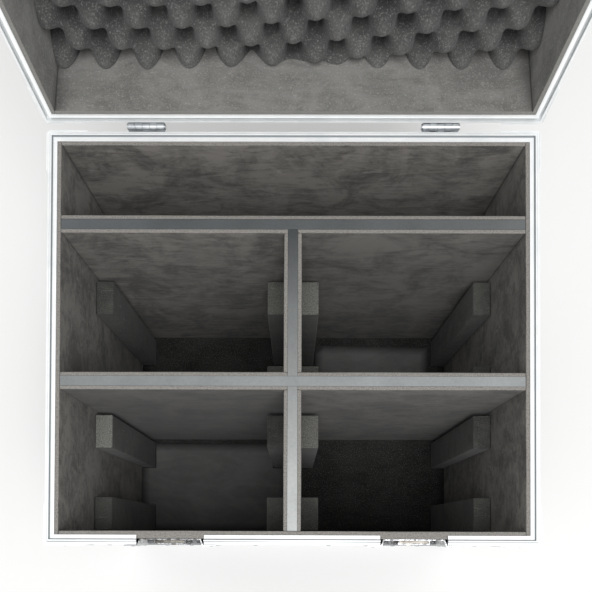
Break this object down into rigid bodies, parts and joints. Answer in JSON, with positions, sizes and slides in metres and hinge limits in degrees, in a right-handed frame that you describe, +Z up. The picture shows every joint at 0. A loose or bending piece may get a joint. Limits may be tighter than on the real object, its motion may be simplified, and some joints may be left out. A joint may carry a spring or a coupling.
{
  "type": "flight case",
  "caption": "Padded flight case with aluminium closing rims, a hinged lid with egg-crate foam, twist latches, spring handles and lined divider bays.",
  "frame": {"origin": "on the floor, under the middle of the outline of the open case", "axes": "+Z up, +Y from the latches to the hinges, +X to the right seen from the latches"},
  "size_m": [0.616, 0.7114, 0.9319],
  "materials": {
    "black_board": "satin",
    "divider_board": "matte",
    "aluminium": "satin",
    "zinc_steel": "satin",
    "bright_steel": "gloss",
    "lining_foam": "matte",
    "mat_foam": "matte",
    "crate_foam": "matte",
    "rubber": "matte"
  },
  "bodies": {
    "case": {"base_panel": "black_board", "front_panel": "black_board", "back_panel": "black_board", "left_panel": "black_board", "right_panel": "black_board", "body_edge_frame": "aluminium", "body_rim": "aluminium", "body_rim_front": "aluminium", "body_ball_corner_front_left": "zinc_steel", "foot_front_left": "rubber", "body_ball_corner_front_right": "zinc_steel", "foot_front_right": "rubber", "body_ball_corner_rear_left": "zinc_steel", "foot_rear_left": "rubber", "body_ball_corner_rear_right": "zinc_steel", "foot_rear_right": "rubber", "rear_divider": "divider_board", "middle_divider": "divider_board", "centre_divider": "divider_board", "case_lining": "lining_foam", "left_lining": "lining_foam", "right_lining": "lining_foam", "middle_left_bay_lining": "lining_foam", "front_left_bay_lining": "lining_foam", "middle_right_bay_lining": "lining_foam", "front_right_bay_lining": "lining_foam", "front_left_mat": "mat_foam", "middle_right_mat": "mat_foam", "left_latch_dish": "bright_steel", "left_handle_dish": "zinc_steel", "left_hinge_body_leaf": "zinc_steel", "left_hinge_pin": "zinc_steel", "right_latch_dish": "bright_steel", "right_handle_dish": "zinc_steel", "right_hinge_body_leaf": "zinc_steel", "right_hinge_pin": "zinc_steel"},
    "lid": {"lid_shell": "black_board", "lid_edge_frame": "aluminium", "lid_rim": "aluminium", "lid_rim_front": "aluminium", "lid_ball_corner_front_left": "zinc_steel", "lid_ball_corner_front_right": "zinc_steel", "lid_ball_corner_rear_left": "zinc_steel", "lid_ball_corner_rear_right": "zinc_steel", "lid_lining": "lining_foam", "lid_foam": "crate_foam", "left_latch_keeper": "bright_steel", "left_hinge_lid_leaf": "zinc_steel", "right_latch_keeper": "bright_steel", "right_hinge_lid_leaf": "zinc_steel"},
    "left_rotor": {"left_latch_rotor": "bright_steel"},
    "left_tongue": {"left_latch_tongue": "bright_steel"},
    "left_wing": {"left_latch_wing": "bright_steel"},
    "left_handle": {"left_handle_bow": "bright_steel", "left_handle_sleeve": "rubber"},
    "right_rotor": {"right_latch_rotor": "bright_steel"},
    "right_tongue": {"right_latch_tongue": "bright_steel"},
    "right_wing": {"right_latch_wing": "bright_steel"},
    "right_handle": {"right_handle_bow": "bright_steel", "right_handle_sleeve": "rubber"}
  },
  "joints": [
    {"name": "lid_hinge", "type": "hinge", "parent": "case", "child": "lid", "pos_m": [0, 0.16176, 0.426], "axis": [-1, 0, 0], "range_deg": [-98, 0]},
    {"name": "left_latch_turn", "type": "hinge", "parent": "case", "child": "left_rotor", "pos_m": [-0.1475, -0.34774, 0.393], "axis": [0, -1, 0], "range_deg": [0, 180]},
    {"name": "left_tongue_slide", "type": "slide", "parent": "case", "child": "left_tongue", "axis": [0, 0, 1], "range_m": [0, 0.012]},
    {"name": "left_wing_fold", "type": "hinge", "parent": "left_rotor", "child": "left_wing", "pos_m": [-0.1475, -0.34714, 0.393], "axis": [-1, 0, 0], "range_deg": [0, 90]},
    {"name": "left_handle_swing", "type": "hinge", "parent": "case", "child": "left_handle", "pos_m": [-0.2933, -0.09574, 0.323], "axis": [0, 1, 0], "range_deg": [0, 90], "stiffness_Nm_per_rad": 0.12, "springref_deg": -11.46},
    {"name": "right_latch_turn", "type": "hinge", "parent": "case", "child": "right_rotor", "pos_m": [0.1475, -0.34774, 0.393], "axis": [0, -1, 0], "range_deg": [0, 180]},
    {"name": "right_tongue_slide", "type": "slide", "parent": "case", "child": "right_tongue", "axis": [0, 0, 1], "range_m": [0, 0.012]},
    {"name": "right_wing_fold", "type": "hinge", "parent": "right_rotor", "child": "right_wing", "pos_m": [0.1475, -0.34714, 0.393], "axis": [-1, 0, 0], "range_deg": [0, 90]},
    {"name": "right_handle_swing", "type": "hinge", "parent": "case", "child": "right_handle", "pos_m": [0.2933, -0.09574, 0.323], "axis": [0, -1, 0], "range_deg": [0, 90], "stiffness_Nm_per_rad": 0.12, "springref_deg": -11.46}
  ],
  "couplings": [
    {"joint": "left_latch_turn", "follows": "left_tongue_slide", "rad_per_m": 261.79},
    {"joint": "right_latch_turn", "follows": "right_tongue_slide", "rad_per_m": 261.79}
  ]
}
